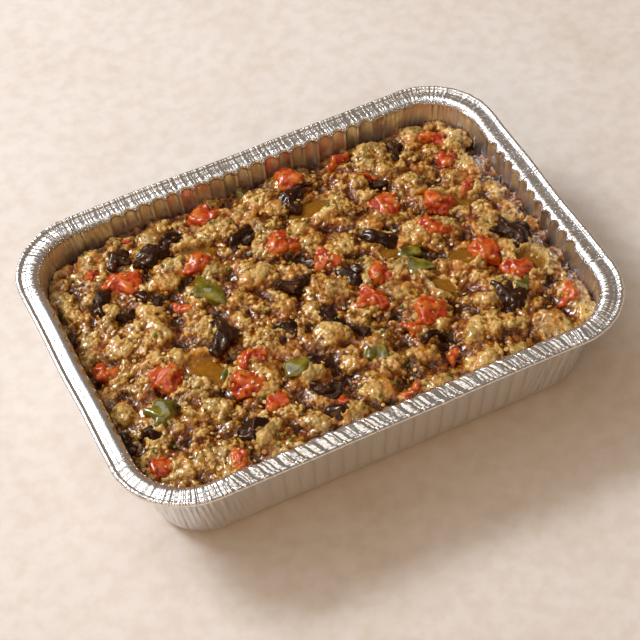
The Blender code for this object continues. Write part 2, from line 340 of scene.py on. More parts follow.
def wall_push(columns, drop):
    """How far the wall is pressed outward at a depth below the rim: its fingers and its pleats."""
    finger_run = np.array((*FINGER_RUNS, 0.0))[columns["side"]]
    beyond = np.abs(columns["reach"]) - finger_run
    across = 2 * (((columns["reach"] + finger_run) / FINGER_PITCH) % 1) - 1
    arch = FINGER_START + FINGER_ARCH * (1 - np.sqrt(np.clip(1 - across ** 2, 0, 1)))
    above_foot = smooth((rim_top - drop - FOOT_HEIGHT) / (5 * MM))
    fingers = (1 - np.abs(across) ** 3) * smooth((drop - arch) / FINGER_EDGE) * above_foot
    fingers = np.where((columns["side"] < 2) & (beyond < -1e-6), fingers * FINGER_DEPTH, 0.0)
    gathered = np.where(columns["side"] == 2, 1.0, smooth(beyond / (3 * MM)))
    deep = smooth((drop - 0.8 * MM) / (3 * MM)) * (0.35 + 0.65 * above_foot)
    folds = pleats(columns, 1 + PLEAT_FAN * drop / rim_top) * PLEAT_DEPTH
    return fingers + gathered * deep * folds


def wall_line(drop):
    """Inset and corner radius of the wall's inner face at a depth below the rim."""
    share = (drop - SHOULDER_DROP) / (rim_top - FOOT_HEIGHT - SHOULDER_DROP)
    inset = SHOULDER_INSET + (FOOT_INSET - SHOULDER_INSET) * share
    return inset, SHOULDER_CORNER + (FOOT_CORNER - SHOULDER_CORNER) * share


def crumple(lengths, pitch, depth, seed, spikes=False):
    """Random creases along the rim at a local pitch, as slopes from knot to knot or as single grooves."""
    roll = np.random.default_rng(seed)
    total = lengths[-1]
    knots, values = [0.0], [0.0]
    while knots[-1] < total - 0.5 * MM:
        step = np.interp(knots[-1], lengths, pitch) * roll.uniform(0.5, 1.5)
        knots.append(min(knots[-1] + step, total))
        values.append(roll.uniform(-1, 1) * np.interp(knots[-1], lengths, depth))
    values[-1] = values[0]
    if not spikes:
        return np.interp(lengths, knots, values)
    made = np.zeros(len(lengths))
    at = np.searchsorted(lengths, knots[:-1])
    for shift, share in ((-1, 0.4), (0, 1.0), (1, 0.4)):
        made[(at + shift) % len(made)] = -np.abs(values[:-1]) * share
    return made


def wander(columns, height, seed):
    """A slow wave round the tray, as a thin rim takes from handling."""
    roll = np.random.default_rng(seed)
    angle = np.arctan2(columns["share"][:, 1] + columns["away"][:, 1] * 0.4,
                       columns["share"][:, 0] + columns["away"][:, 0] * 0.4)
    return sum(np.sin(angle * turns + roll.uniform(0, 6.3)) * roll.uniform(0.4, 1)
               for turns in (2, 3, 5, 7, 11)) * height / 2


wall = tray_columns(*STRAIGHT_STEPS, CORNER_STEPS)
rim = tray_columns(*(2 * steps for steps in STRAIGHT_STEPS), 2 * CORNER_STEPS)
rim_line = ring(rim, 5 * MM, RIM_CORNER - 5 * MM, 0)
lengths = np.concatenate(((0,), np.cumsum(np.linalg.norm(np.diff(rim_line[:, :2], axis=0), axis=1))))

# Sides in turn: back, left, front, right. The left rim is nearly smooth and the others are knurled.
near_corner = smooth(1 - (np.abs(rim["run"]) - SHOULDER_CORNER * math.pi / 4) / (12 * MM))
near_corner = np.where(rim["side"] == 2, 1.0, near_corner)
which = np.where(rim["away"][:, 1] > 0.5, 0, np.where(rim["away"][:, 0] < -0.5, 1,
                 np.where(rim["away"][:, 1] < -0.5, 2, 3)))
side_pitch = np.array((1.1, 3.0, 1.5, 1.2))[which] * MM
side_depth = np.array((0.06, 0.05, 0.06, 0.05))[which] * MM
pitch = side_pitch + (0.9 * MM - side_pitch) * near_corner
depth = side_depth + (0.16 * MM - side_depth) * near_corner
groove_pitch = np.array((2.2, 6.0, 3.2, 2.2))[which] * MM
groove_pitch = groove_pitch + (1.8 * MM - groove_pitch) * near_corner
knurl = crumple(lengths, pitch, depth, 21)
lines = crumple(lengths, groove_pitch, np.full(len(lengths), 0.12 * MM), 22, spikes=True)
gather = pleats(rim, 1.0) * near_corner * 0.26 * MM
bead_pitch = 2.2 * MM + (0.8 * MM - 2.2 * MM) * near_corner
bead_depth = 0.03 * MM + (0.15 * MM - 0.03 * MM) * near_corner
crinkle = crumple(lengths, bead_pitch, bead_depth, 23)
rim_wave = wander(rim, 0.25 * MM, 31)
rim_sway = wander(rim, 0.30 * MM, 32)
wall_wave, wall_sway = rim_wave[::2], rim_sway[::2]


def rim_row(inset, drop, knurled, lined, on_bead):
    """A row of the rim: how far in and down it lies, and how much of each kind of crease it takes."""
    lift = (knurl + gather) * knurled + lines * lined
    height = rim_top - drop + lift + rim_wave
    push = rim_sway + crinkle * on_bead
    if inset > 8 * MM:
        push = push + wall_push(rim, drop)
    return ring(rim, inset, RIM_CORNER - inset, height + crinkle * on_bead * 0.5, push)


def wall_row(drop, skin):
    """A row of the wall, on the inner face or one foil thickness outside it."""
    inset, corner = wall_line(drop)
    fade = 1 - drop / rim_top
    push = wall_push(wall, drop) + wall_sway * fade
    return ring(wall, inset - skin, corner + skin, rim_top - drop + wall_wave * fade, push)


def foot_row(inset, height):
    """A row of the rounded foot and the base."""
    corner = FOOT_CORNER - (inset - FOOT_INSET) * 0.7
    return ring(wall, inset, corner, height)


rows = [foot_row(FOOT_INSET + inset * MM, height * MM) for inset, height in (
    (14.0, 0.9), (8.5, 0.9), (7.6, 0.6), (6.6, 0.1), (3.6, 0.0), (2.0, 0.35), (0.8, 1.2), (0.1, 2.2))]
rows += [wall_row(rim_top - height * MM, FOIL) for height in (
    3.4, 5, 8, 11, 14, 17, 20, 23, 26, 29, 32, 35, 37, 38.6, 39.8, 40.8, 41.7, 42.5)]
rows += [rim_row(inset * MM, drop * MM, knurled, lined, 0) for inset, drop, knurled, lined in (
    (9.0, 1.6, 0.4, 0.0), (8.2, 0.75, 0.8, 0.4), (5.0, 0.88, 1.0, 0.6), (2.9, 1.20, 0.6, 0.3))]
for angle in (-150, -100, -55, -20, 10, 40, 70, 100, 130, 155):
    turn = math.radians(angle)
    rows.append(rim_row(BEAD_RADIUS * (1 - math.cos(turn)), BEAD_RADIUS * (1 - math.sin(turn)), 0.25, 0, 1))
rows += [rim_row(inset * MM, drop * MM, knurled, lined, 0) for inset, drop, knurled, lined in (
    (2.55, 1.25, 0.3, 0.0), (2.9, 0.95, 0.5, 0.3), (4.3, 0.73, 0.8, 0.8), (4.6, 0.79, 0.8, 0.8),
    (4.9, 0.54, 1.0, 1.0), (6.9, 0.36, 1.0, 1.0), (7.9, 0.66, 0.8, 0.4), (9.2, 1.40, 0.4, 0.0))]
rows += [wall_row(drop * MM, 0.0) for drop in (
    2.2, 2.65, 3.1, 3.55, 4.0, 4.5, 5.0, 5.6, 6.3, 7.2, 8.4, 9.8, 11.4, 13.2, 17, 40.4)]
rows += [foot_row(FOOT_INSET + inset * MM, height * MM) for inset, height in (
    (0.4, 2.3), (1.1, 1.3), (3.8, 0.25), (6.4, 0.35), (8.4, 1.1), (14.0, 1.1))]

starts = np.cumsum([0] + [len(row) for row in rows])
faces = []
for start, low, high in zip(starts, rows, rows[1:]):
    upper = start + len(low)
    if len(low) == len(high):
        for step in range(len(low)):
            after = (step + 1) % len(low)
            faces.append((start + step, start + after, upper + after, upper + step))
    elif len(low) < len(high):
        for step in range(len(low)):
            after = (step + 1) % len(low)
            one, two, three = (upper + (2 * step + k) % len(high) for k in range(3))
            faces += [(start + step, two, one), (start + step, start + after, two),
                      (start + after, three, two)]
    else:
        for step in range(len(high)):
            after = (step + 1) % len(high)
            one, two, three = (start + (2 * step + k) % len(low) for k in range(3))
            faces += [(one, two, upper + step), (two, upper + after, upper + step),
                      (two, three, upper + after)]
faces.append(tuple(reversed(range(len(rows[0])))))
faces.append(tuple(range(starts[-2], starts[-1])))
tray = finish_mesh("foil_tray", np.concatenate(rows), faces)

# The creases across the rim and down the corners: how many there are up to each point, and how deep
# they are there. Those on the front rim run aslant.
steps = np.diff(lengths, prepend=0)
rim_pitch = np.array((2.4, 6.0, 4.0, 1.8))[which] * MM
rim_pitch = rim_pitch + (1.8 * MM - rim_pitch) * near_corner
rim_depth = np.array((0.8, 0.5, 1.5, 0.9))[which] * (1 - near_corner) + near_corner
slant = CREASE_SLANT * (which == 2) * (1 - near_corner)
wall_pitch = 2.8 * MM
wall_depth = (0.1 + 1.3 * near_corner)[::2]
counts, depths = [], []
for row in rows:
    inset = half_width - row[:, 1].max()
    if len(row) == len(lengths):
        counts.append(np.cumsum(steps / rim_pitch) + slant * inset / rim_pitch)
        depths.append(rim_depth)
    else:
        counts.append(lengths[::2] / wall_pitch)
        depths.append(wall_depth)
for name, values in (("crease_count", counts), ("crease_depth", depths)):
    attribute = tray.data.attributes.new(name, "FLOAT", "POINT")
    attribute.data.foreach_set("value", np.concatenate(values).astype(np.float32))

# Household-tray aluminium, bright rolled: a clear mirror broken up by shallow dents a few
# millimetres across and by the fine lines of the rolling mill.
FOIL_COLOUR = "#e9eaeb"
WALL_ROUGHNESS, RIM_ROUGHNESS = 0.3, 0.2
DENT_SIZE, DENT_DEPTH = 3.0 * MM, 0.3 * MM
ROLLING_LINES, ROLLING_DEPTH = 0.5 * MM, 0.05 * MM
ROLLING_STRETCH = (0.05, 1.0, 0.3)
CREASE_DEPTH, GROOVE_DEPTH = 0.2 * MM, 0.12 * MM
CREASE_STRAY, CREASE_WANDER = 0.4, 9 * MM


def stored(tree, name):
    """The number kept on the mesh under a name."""
    return add_node(tree, "ShaderNodeAttribute", attribute_name=name).outputs["Fac"]


def scaled(tree, value, factor, added):
    """A number times a factor, plus another number."""
    return add_node(tree, "ShaderNodeMath", {0: value, 1: factor, 2: added}, operation="MULTIPLY_ADD")


def ramp(tree, value, low, high, bottom=0.0, top=1.0):
    """A number eased in a straight line from one range to another, and held at its ends."""
    return add_node(tree, "ShaderNodeMapRange", {"Value": value, "From Min": low, "From Max": high,
                                                 "To Min": bottom, "To Max": top})


def dent(tree, height, strength, distance, under=None):
    """A bump from a height, over another bump if there is one."""
    feeds = {"Height": height, "Strength": strength, "Distance": distance}
    if under:
        feeds["Normal"] = under
    return add_node(tree, "ShaderNodeBump", feeds)


foil, tree, surface, place = new_material("rolled_aluminium_foil")
dents = cloud(tree, place, DENT_SIZE, 2.0)
stretched = add_node(tree, "ShaderNodeMapping", {"Vector": place, "Scale": ROLLING_STRETCH})
rolling = cloud(tree, stretched, ROLLING_LINES, 1.0)
bump = dent(tree, rolling, 0.12, ROLLING_DEPTH, dent(tree, dents, 0.15, DENT_DEPTH))
strayed = scaled(tree, cloud(tree, place, CREASE_WANDER, 1.0), CREASE_STRAY, stored(tree, "crease_count"))
strength = stored(tree, "crease_depth")
for scale, share, distance in ((1.0, 0.25, CREASE_DEPTH), (0.6, 0.03, GROOVE_DEPTH)):
    folds = add_node(tree, "ShaderNodeTexNoise", {"W": strayed, "Scale": scale, "Detail": 0.4},
                     noise_dimensions="1D")
    away = add_node(tree, "ShaderNodeMath", {0: folds, 1: 0.5}, operation="SUBTRACT")
    away = add_node(tree, "ShaderNodeMath", {0: away}, operation="ABSOLUTE")
    ridge = ramp(tree, away, 0.0, share)
    ridge = add_node(tree, "ShaderNodeMath", {0: ridge, 1: strength}, operation="MULTIPLY")
    bump = dent(tree, ridge, 1.0, distance, bump)
upright = add_node(tree, "ShaderNodeSeparateXYZ", {0: place}).outputs["Z"]
haze = ramp(tree, upright, rim_top - 6 * MM, rim_top - 1.5 * MM, WALL_ROUGHNESS, RIM_ROUGHNESS)
haze = scaled(tree, dents, 0.12, haze)
feed(tree, surface, {"Base Color": linear(FOIL_COLOUR), "Metallic": 1.0, "Roughness": haze, "Normal": bump})
tray.data.materials.append(foil)
settle(tray, "foil", "tray")


# ---- Mash -----------------------------------------------------------------------------------------
# Roasted aubergine chopped by hand and spooned in: soft golden lumps, each a cluster of smaller
# crumbs, over dark wet gaps. It fills the tray from wall to wall and slumps at its left end.

MASH_LEVEL = 34.4 * MM
CROWN = 1.6 * MM
MASH_HALF_LENGTH, MASH_HALF_WIDTH = 98.0 * MM, 70.0 * MM
LOW_END, LOW_END_REACH = 3.6 * MM, 45.0 * MM
WALL_SLUMP, SLUMP_REACH = 2.4 * MM, 9.0 * MM
LUMP_SPACING, LUMP_RISE = 17.0 * MM, 4.6 * MM
MASH_STEP = 0.57 * MM
MASH_DEEPEST = 40.2 * MM
BED_DEPTH, OVERLAP = 0.5 * MM, 3.0 * MM
TABLE = 128
ROOM = 48

# The clusters on the lumps, from coarse to fine: size, how far they stand out, and seed.
RELIEF = (
    (9.5 * MM, 3.8 * MM, 41), (4.6 * MM, 0.8 * MM, 42), (2.4 * MM, 1.5 * MM, 43), (1.6 * MM, 0.8 * MM, 44),
)
TINT_SHARES = (0.2, 0.2, 0.35, 0.25)

# Smooth flakes of flesh, raised a little, which the painted shading leaves paler: place, length and
# width in millimetres, and turn in degrees.
FLAKES = (
    (-50, 38, 22, 15, 10), (-5, -25, 25, 19, -20), (32, -20, 20, 16, 20), (55, 5, 17, 13, 0),
    (-66, -30, 18, 14, -30), (-20, 20, 17, 13, 15), (60, 45, 18, 13, -20), (-28, -60, 17, 12, 0),
    (50, -50, 18, 13, 10), (-82, 12, 15, 12, 40), (8, 50, 16, 11, 0), (88, 8, 14, 11, 60),
)
# Puddles of oil and juice, in the same way.
PUDDLES = (
    (18, 44, 18, 9, 0), (71, 22, 22, 7, -41), (63, -11, 12, 8, -42), (86, -25, 13, 9, -69),
    (37, 7, 9, 8, 0), (-56, -15, 20, 12, -61), (-33, 45, 16, 6, -21), (48, -22, 13, 7, -70),
)


def drift(x, y, size, seed):
    """Smooth random drift between -1 and 1, with features of about the given size."""
    table = np.random.default_rng(seed).uniform(-1, 1, (TABLE, TABLE))
    column, line = np.floor(x / size).astype(int), np.floor(y / size).astype(int)
    across, along = smooth(x / size - column), smooth(y / size - line)
    near, far = (
        table[column % TABLE, at % TABLE] * (1 - across) + table[(column + 1) % TABLE, at % TABLE] * across
        for at in (line, line + 1)
    )
    return near * (1 - along) + far * along


def clusters(places, size, seed):
    """How far balls of about the given size, crowded at random in space, stand out at each place (about
    1 on a big ball's middle and 0 in the gaps), and the number of the ball there."""
    table = np.random.default_rng(seed).random((ROOM, ROOM, ROOM, 4))
    scaled = places / size
    cell = np.floor(scaled).astype(int)
    out, number = np.full(len(places), -1.0), np.zeros(len(places))
    for shift in np.ndindex(3, 3, 3):
        here = cell + np.array(shift) - 1
        pick = table[tuple((here % ROOM).T)]
        away = ((scaled - here - pick[:, :3]) ** 2).sum(1)
        rise = 0.35 + 0.65 * pick[:, 3] - 1.25 * away
        number = np.where(rise > out, pick[:, 3], number)
        out = np.maximum(out, rise)
    return np.maximum(out, -0.35), number


def grid_normals(grid):
    """The direction out of a sheet of points at each of its points."""
    outward = np.cross(np.gradient(grid, axis=0), np.gradient(grid, axis=1))
    return outward / np.linalg.norm(outward, axis=2)[..., None]


def oval(x, y, patch):
    """1 in the middle of an oval patch, 0 on its edge and negative outside."""
    turn = math.radians(patch[4])
    dx, dy = x - patch[0] * MM, y - patch[1] * MM
    along = (dx * math.cos(turn) + dy * math.sin(turn)) / (patch[2] * MM / 2)
    across = (dy * math.cos(turn) - dx * math.sin(turn)) / (patch[3] * MM / 2)
    return 1 - along ** 2 - across ** 2


def mash_level(x, y):
    """The mash's own level without its lumps: crowned, and lower at the left end and along the wall."""
    crown = CROWN * (1 - (x / MASH_HALF_LENGTH) ** 2) * (1 - (y / MASH_HALF_WIDTH) ** 2)
    into_end = np.clip((LOW_END_REACH - MASH_HALF_LENGTH - x) / LOW_END_REACH, 0, None)
    to_wall = np.minimum(MASH_HALF_LENGTH - np.abs(x), MASH_HALF_WIDTH - np.abs(y))
    slump = WALL_SLUMP * np.clip(1 - np.clip(to_wall, 0, None) / SLUMP_REACH, 0, None) ** 2
    return MASH_LEVEL + crown - LOW_END * into_end ** 2 - slump


def surface_tree(objects):
    """Something to drop a plumb line on: the surface of several meshes together."""
    points, faces = [], []
    for item in objects:
        start = len(points)
        points += [tuple(vertex.co) for vertex in item.data.vertices]
        faces += [[start + at for at in face.vertices] for face in item.data.polygons]
    return BVHTree.FromPolygons(points, faces)


def drop(surface, px, py):
    """The height at which a plumb line over a place meets a surface, or 0 if it misses."""
    hit = surface.ray_cast(Vector((px, py, 0.06)), Vector((0, 0, -1)))[0]
    return 0.0 if hit is None else hit.z


def blurred(grid, radius):
    """The grid averaged over a square, run twice to round it off."""
    for _ in range(2):
        for axis in (0, 1):
            padded = np.concatenate([np.take(grid, [0] * radius, axis), grid,
                                     np.take(grid, [-1] * (radius + 1), axis)], axis)
            total = np.cumsum(padded, axis)
            width = grid.shape[axis]
            high = np.take(total, range(2 * radius, 2 * radius + width), axis)
            total = np.concatenate([np.zeros_like(np.take(total, [0], axis)), total], axis)
            low = np.take(total, range(width), axis)
            grid = (high - low) / (2 * radius + 1)
    return grid


def within_wall(px, py, height, sink, only_outside):
    """The nearest places on the tray's inner wall at some heights; or just those that stray outside it."""
    inset, corner = wall_line(rim_top - height)
    middle_x, middle_y = half_length - inset - corner, half_width - inset - corner
    hung_x, hung_y = np.clip(px, -middle_x, middle_x), np.clip(py, -middle_y, middle_y)
    away = np.stack((px - hung_x, py - hung_y), 1)
    reach = np.linalg.norm(away, axis=1)
    limit = corner + sink
    if only_outside:
        limit = np.minimum(reach, limit)
    away = away / np.maximum(reach, 1e-9)[:, None] * limit[:, None]
    return np.column_stack((hung_x + away[:, 0], hung_y + away[:, 1]))


def wall_bulge(flat, height):
    """How far the tray's wall stands out near some places: its fingers, its pleats and its sway."""
    drop = rim_top - height
    line = ring(wall, *wall_line(drop), 0)[:, :2]
    nearest = np.array([np.argmin(((line - place) ** 2).sum(1)) for place in flat])
    bulge = wall_push(wall, drop) + wall_sway * (1 - drop / rim_top)
    return np.min([bulge[(nearest + shift) % len(bulge)] for shift in (-2, -1, 0, 1, 2)], axis=0)


outer_inset, outer_corner = wall_line(rim_top - MASH_LEVEL)
reach_x = half_length - outer_inset
reach_y = half_width - outer_inset
steps_x = int(2 * reach_x / MASH_STEP) + 3
steps_y = int(2 * reach_y / MASH_STEP) + 3
x, y = np.meshgrid((np.arange(steps_x) - (steps_x - 1) / 2) * MASH_STEP,
                   (np.arange(steps_y) - (steps_y - 1) / 2) * MASH_STEP, indexing="ij")

lumps = np.array([
    noise.voronoi(Vector((px / LUMP_SPACING, py / LUMP_SPACING * 1.2, 0.5)))[0][0]
    for px, py in zip(x.ravel(), y.ravel())
]).reshape(x.shape)
flake_share = smooth(np.max([oval(x, y, patch) for patch in FLAKES], axis=0) * 2)
crumbly = np.clip(0.85 + 0.4 * drift(x, y, 12 * MM, 48), 0.4, 1.3) * (1 - 0.4 * flake_share)
level = mash_level(x, y)
sheet = np.stack((x, y, level + LUMP_RISE * (0.45 - lumps ** 2) + 1.2 * MM * flake_share), 2)
tint = np.zeros(x.shape)
for (size, rise, seed), weight in zip(RELIEF, TINT_SHARES):
    stray = np.stack([drift(x, y, size * 0.9, seed + shift) for shift in (10, 20, 30)], 2) * size * 0.22
    out, number = clusters((sheet + stray).reshape(-1, 3), size, seed)
    out, number = out.reshape(x.shape), number.reshape(x.shape)
    share = crumbly if size < 3 * MM else 1.0
    sheet = sheet + grid_normals(sheet) * (rise * share * (out - out.mean()))[..., None]
    tint += number * weight

# Juice fills the bottoms of the creases, and climbs a little up their sides.
FILL_DEPTH, FILL_CURVE, FILL_FADE = 0.3 * MM, 0.12 * MM, 0.5 * MM
fill = blurred(sheet[..., 2], 2) - FILL_DEPTH
juice = np.clip((fill - sheet[..., 2]) / FILL_FADE + 0.3, 0, 1)
away = np.abs(fill - sheet[..., 2])
sheet[..., 2] = np.maximum(fill, sheet[..., 2]) + FILL_CURVE * np.log1p(np.exp(-away / FILL_CURVE))

# Puddles lie in hollows, and each chunk presses its own bed.
PUDDLE_LEVEL, PUDDLE_FLOOR, PUDDLE_BUMPS = -0.5 * MM, -2.3 * MM, 0.4
puddle = np.max([oval(x, y, patch) for patch in PUDDLES], axis=0)
puddle_share = smooth(puddle * 1.4 + 0.4 + 0.7 * drift(x, y, 3.2 * MM, 49))
puddle_floor = level + PUDDLE_FLOOR + (sheet[..., 2] - level) * PUDDLE_BUMPS
mash_height = sheet[..., 2] * (1 - puddle_share) + puddle_floor * puddle_share
mash_height = np.minimum(mash_height, MASH_DEEPEST - 0.3 * MM)
kinds = {kind: sorted(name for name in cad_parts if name.startswith(kind + "_"))
         for kind in ("tomato", "pepper", "skin")}
above_chunks = surface_tree([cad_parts[name] for names in kinds.values() for name in names])
beds = np.array([drop(above_chunks, px, py) for px, py in zip(sheet[..., 0].ravel(), sheet[..., 1].ravel())])
overlap = OVERLAP * np.clip(drift(x, y, 3.2 * MM, 50) + 0.1, 0, 1)
beds = beds.reshape(x.shape) - BED_DEPTH + overlap
pressed = ((beds > overlap) & (beds < mash_height)).astype(float)
sheet[..., 2] = np.where(pressed > 0, beds, mash_height)
mash_height = sheet[..., 2]

# How deep each place lies in its surroundings; the mash's colour is painted darker with it in the
# gaps, as painted shade over the brown of the juice there.
cavity = np.clip(0.5 - (mash_height - blurred(mash_height, 3)) / (1.6 * MM), 0, 1)
hollow = np.clip(0.5 - (mash_height - blurred(mash_height, 12)) / (4.6 * MM), 0, 1)

hung_x = np.clip(x, -(reach_x - outer_corner), reach_x - outer_corner)
hung_y = np.clip(y, -(reach_y - outer_corner), reach_y - outer_corner)
wall_gap = outer_corner - np.hypot(x - hung_x, y - hung_y)
inside = wall_gap > 0.1 * MM
cells = inside[:-1, :-1] | inside[1:, :-1] | inside[:-1, 1:] | inside[1:, 1:]


def mesh_cells(cells):
    """Numbers the points of the chosen cells of the grid; gives the points' mask, the faces and the
    edge that runs round each patch of cells."""
    used = np.zeros((steps_x, steps_y), bool)
    for shift_x in (0, 1):
        for shift_y in (0, 1):
            used[shift_x:steps_x - 1 + shift_x, shift_y:steps_y - 1 + shift_y] |= cells
    number = np.full(used.shape, -1)
    number[used] = np.arange(used.sum())
    column, line = np.nonzero(cells)
    faces = np.stack((number[column, line], number[column + 1, line],
                      number[column + 1, line + 1], number[column, line + 1]), 1).tolist()
    edges = {}
    for face in faces:
        for one, two in zip(face, face[1:] + face[:1]):
            if edges.pop((two, one), None) is None:
                edges[one, two] = True
    return used, faces, list(edges)


used, faces, edges = mesh_cells(cells)
top_faces = list(faces)
top = sheet[used]
outside = ~inside[used]
top[:, :2] = within_wall(top[:, 0], top[:, 1], top[:, 2], -0.15 * MM, True)
edge = within_wall(x[used][outside], y[used][outside], top[outside, 2], 0, False)
sink = 0.1 * MM + wall_bulge(edge, MASH_LEVEL)
top[outside, :2] = within_wall(edge[:, 0], edge[:, 1], top[outside, 2], sink, False)
follow = dict(edges)
loop = [edges[0][0]]
while follow[loop[-1]] != loop[0]:
    loop.append(follow[loop[-1]])
border = top[loop]
rows = [np.array(loop)]
points = [top]
start = len(top)
for height in (24 * MM, 12 * MM, 4 * MM, 0.8 * MM):
    above_foot = np.full(len(border), max(height, FOOT_HEIGHT))
    flat = within_wall(border[:, 0], border[:, 1], above_foot, -0.6 * MM, False)
    if height < FOOT_HEIGHT:
        flat *= 0.97
    points.append(np.column_stack((flat, np.full(len(flat), height))))
    rows.append(np.arange(start, start + len(flat)))
    start += len(flat)
for high, low in zip(rows, rows[1:]):
    for step in range(len(high)):
        after = (step + 1) % len(high)
        faces.append((high[after], high[step], low[step], low[after]))
faces.append(tuple(rows[-1][::-1]))
mash = finish_mesh("mash_body", np.concatenate(points), [tuple(int(at) for at in face) for face in faces])


def keep_values(piece, name, values, rest=0.0):
    """Stores one number per point on a mesh under a name, for its material or for a scatter."""
    attribute = piece.data.attributes.new(name, "FLOAT", "POINT")
    values = np.concatenate((values, np.full(len(piece.data.vertices) - len(values), rest)))
    attribute.data.foreach_set("value", values.astype(np.float32))


# cavity and hollow paint shade into the mash's colour: darker in the gaps, paler on the lump tops.
keep_values(mash, "cavity", cavity[used], 0.5)
keep_values(mash, "hollow", (hollow * (1 - 0.7 * puddle_share))[used], 0.5)
keep_values(mash, "tint", tint[used], 0.5)
keep_values(mash, "juice", np.maximum(juice, puddle_share)[used])

# Roasted aubergine flesh in oil: translucent, so light glows through the lump tops, and wet, so
# every crumb carries a small sharp highlight. The gaps hold brown juice; on top of that the colour is
# painted darker in the gaps and paler on the lump tops, as painted shade and light.
MASH_SHADED_JUICE, MASH_BROWN, MASH_GOLD, MASH_PALE = "#381300", "#803e00", "#a87008", "#d6b066"
MASH_OCHRE, MASH_ASH = "#ecb444", "#d2d4cc"
OIL_TINT = "#ffdca6"
PULP_SIZE = 1.1 * MM
KERNEL_SIZE, KERNEL_WARP, KERNEL_SHADE, KERNEL_MIDDLE = 1.5 * MM, 0.9 * MM, 1.5, 0.42
STAIN_SIZE = 11 * MM
ASH_SIZE = 7 * MM

pulp, tree, surface, place = new_material("roasted_aubergine_flesh")
grain = cloud(tree, place, PULP_SIZE, 4.0, 0.6)
stain = cloud(tree, place, STAIN_SIZE, 3.0)
juicy = stored(tree, "juice")

# Soft kernels a millimetre or two across, clearest where the flesh isn't stained. Their edges are
# painted darker in the colour, as painted shade in the creases between them.
warp = add_node(tree, "ShaderNodeVectorMath", {0: grain.outputs["Color"], "Scale": KERNEL_WARP},
                operation="SCALE")
warped = add_node(tree, "ShaderNodeVectorMath", {0: place, 1: warp}, operation="ADD")
kernels = add_node(tree, "ShaderNodeTexVoronoi", {"Vector": warped, "Scale": 1 / KERNEL_SIZE})
kernels = kernels.outputs["Distance"]
between = add_node(tree, "ShaderNodeMath", {0: kernels, 1: KERNEL_MIDDLE}, operation="SUBTRACT")

# The deeper a place lies in the mash, the browner and darker: partly the brown juice in the gaps,
# partly painted shade. Each cluster's tint (paler on the clusters that stand out furthest) and the
# fine grain vary it, and the edges between kernels are painted darker as shade. Then ashen and
# ochre stains over it.
depth = scaled(tree, stored(tree, "hollow"), 1.4, stored(tree, "cavity"))
depth = scaled(tree, stored(tree, "tint"), -0.7, depth)
depth = scaled(tree, grain, 0.5, depth)
depth = scaled(tree, between, ramp(tree, stain, 0.62, 0.42, 0.1, KERNEL_SHADE), depth)
depth = ramp(tree, depth, 0.55, 2.15)
colour = shades(tree, depth, (0.0, MASH_PALE), (0.3, MASH_GOLD), (0.62, MASH_BROWN), (0.95, MASH_SHADED_JUICE))
ashen = ramp(tree, cloud(tree, place, ASH_SIZE, 3.0), 0.47, 0.62)
colour = multiplied(tree, ashen, colour, linear(MASH_ASH))
colour = multiplied(tree, ramp(tree, stain, 0.48, 0.66, 0.0, 0.8), colour, linear(MASH_OCHRE))
dryness = add_node(tree, "ShaderNodeMath", {0: 1.0, 1: juicy}, operation="SUBTRACT")
swell = add_node(tree, "ShaderNodeBump", {"Height": kernels, "Strength": dryness, "Distance": 0.6 * MM},
                 invert=True)
feed(tree, surface, {
    "Base Color": colour,
    "Normal": dent(tree, grain, 0.35, 0.4 * MM, swell),
    "Roughness": ramp(tree, juicy, 0.0, 1.0, 0.16, 0.07),
    "IOR": 1.36,
    "Specular Tint": linear(OIL_TINT),
    "Subsurface Weight": 0.35,
    "Subsurface Radius": (1.0, 0.6, 0.15),
    "Subsurface Scale": 1.6 * MM,
    "Coat Weight": ramp(tree, juicy, 0.0, 1.0, 1.0, 0.1),
    "Coat Roughness": 0.03,
})
mash.data.materials.append(pulp)
settle(mash, "mash", "mash")


# ---- Loose crumbs ---------------------------------------------------------------------------------
# The chopped flesh falls apart into thousands of soft wet crumbs, which lie on the lumps and roll
# into the gaps between them. Larger ones make the surface, and finer ones fill in between.

STREWN_GAP = 2.2 * MM
open_mash = 1 - blurred(pressed, 1)
dry = 1 - smooth(puddle_share * 1.3 - 0.2)


def scatter_ground(share):
    """The mash's top alone, with how thickly each point of it is strewn; the edge stays bare."""
    ground = finish_mesh("ground", top, top_faces)
    keep_values(ground, "share", (np.clip(share, 0, 1) * (wall_gap > STREWN_GAP))[used])
    return ground


def ball(segments, rings, squash=1.0):
    """A plain ball of a few dozen faces, one unit in radius."""
    work = bmesh.new()
    bmesh.ops.create_uvsphere(work, u_segments=segments, v_segments=rings, radius=1.0)
    bmesh.ops.triangulate(work, faces=work.faces)
    for vertex in work.verts:
        vertex.co.z *= squash
    mesh = bpy.data.meshes.new("grain")
    work.to_mesh(mesh)
    work.free()
    grain = bpy.data.objects.new("grain", mesh)
    scene.collection.objects.link(grain)
    return grain


